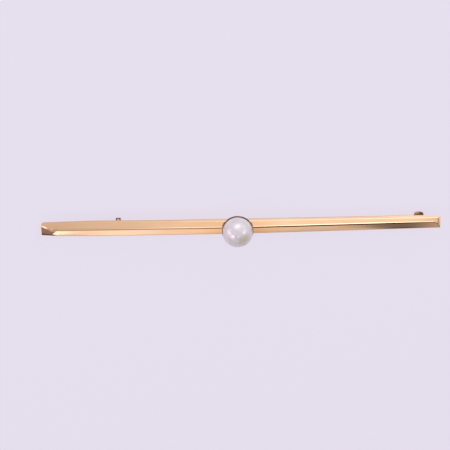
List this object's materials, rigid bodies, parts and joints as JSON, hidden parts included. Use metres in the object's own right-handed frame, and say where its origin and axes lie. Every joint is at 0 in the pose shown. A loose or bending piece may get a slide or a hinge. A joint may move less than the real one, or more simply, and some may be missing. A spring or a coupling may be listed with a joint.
{
  "type": "bar brooch",
  "caption": "Knife-edge gold bar brooch with a pearl in a half-round cup on its face, and a hinged pin and an open hook catch on its back.",
  "frame": {"origin": "on the resting plane, below the middle of the bar, which lies on its back on the catch and the hinge", "axes": "+X along the bar towards the hinge, +Y across the bar towards its upper edge as worn, +Z out of the face through the pearl"},
  "size_m": [0.06, 0.0048, 0.0071],
  "materials": {
    "gold": "polished",
    "pin_gold": "polished",
    "pearl": "lustrous"
  },
  "bodies": {
    "brooch": {"bar": "gold", "pearl": "pearl", "hinge_rivet": "gold"},
    "pin": {"pin_stem": "pin_gold"}
  },
  "joints": [
    {"name": "pin_hinge", "type": "hinge", "parent": "brooch", "child": "pin", "pos_m": [0.0269, 0.0004, 0.00068], "axis": [0, -1, 0], "range_deg": [0, 100]}
  ]
}
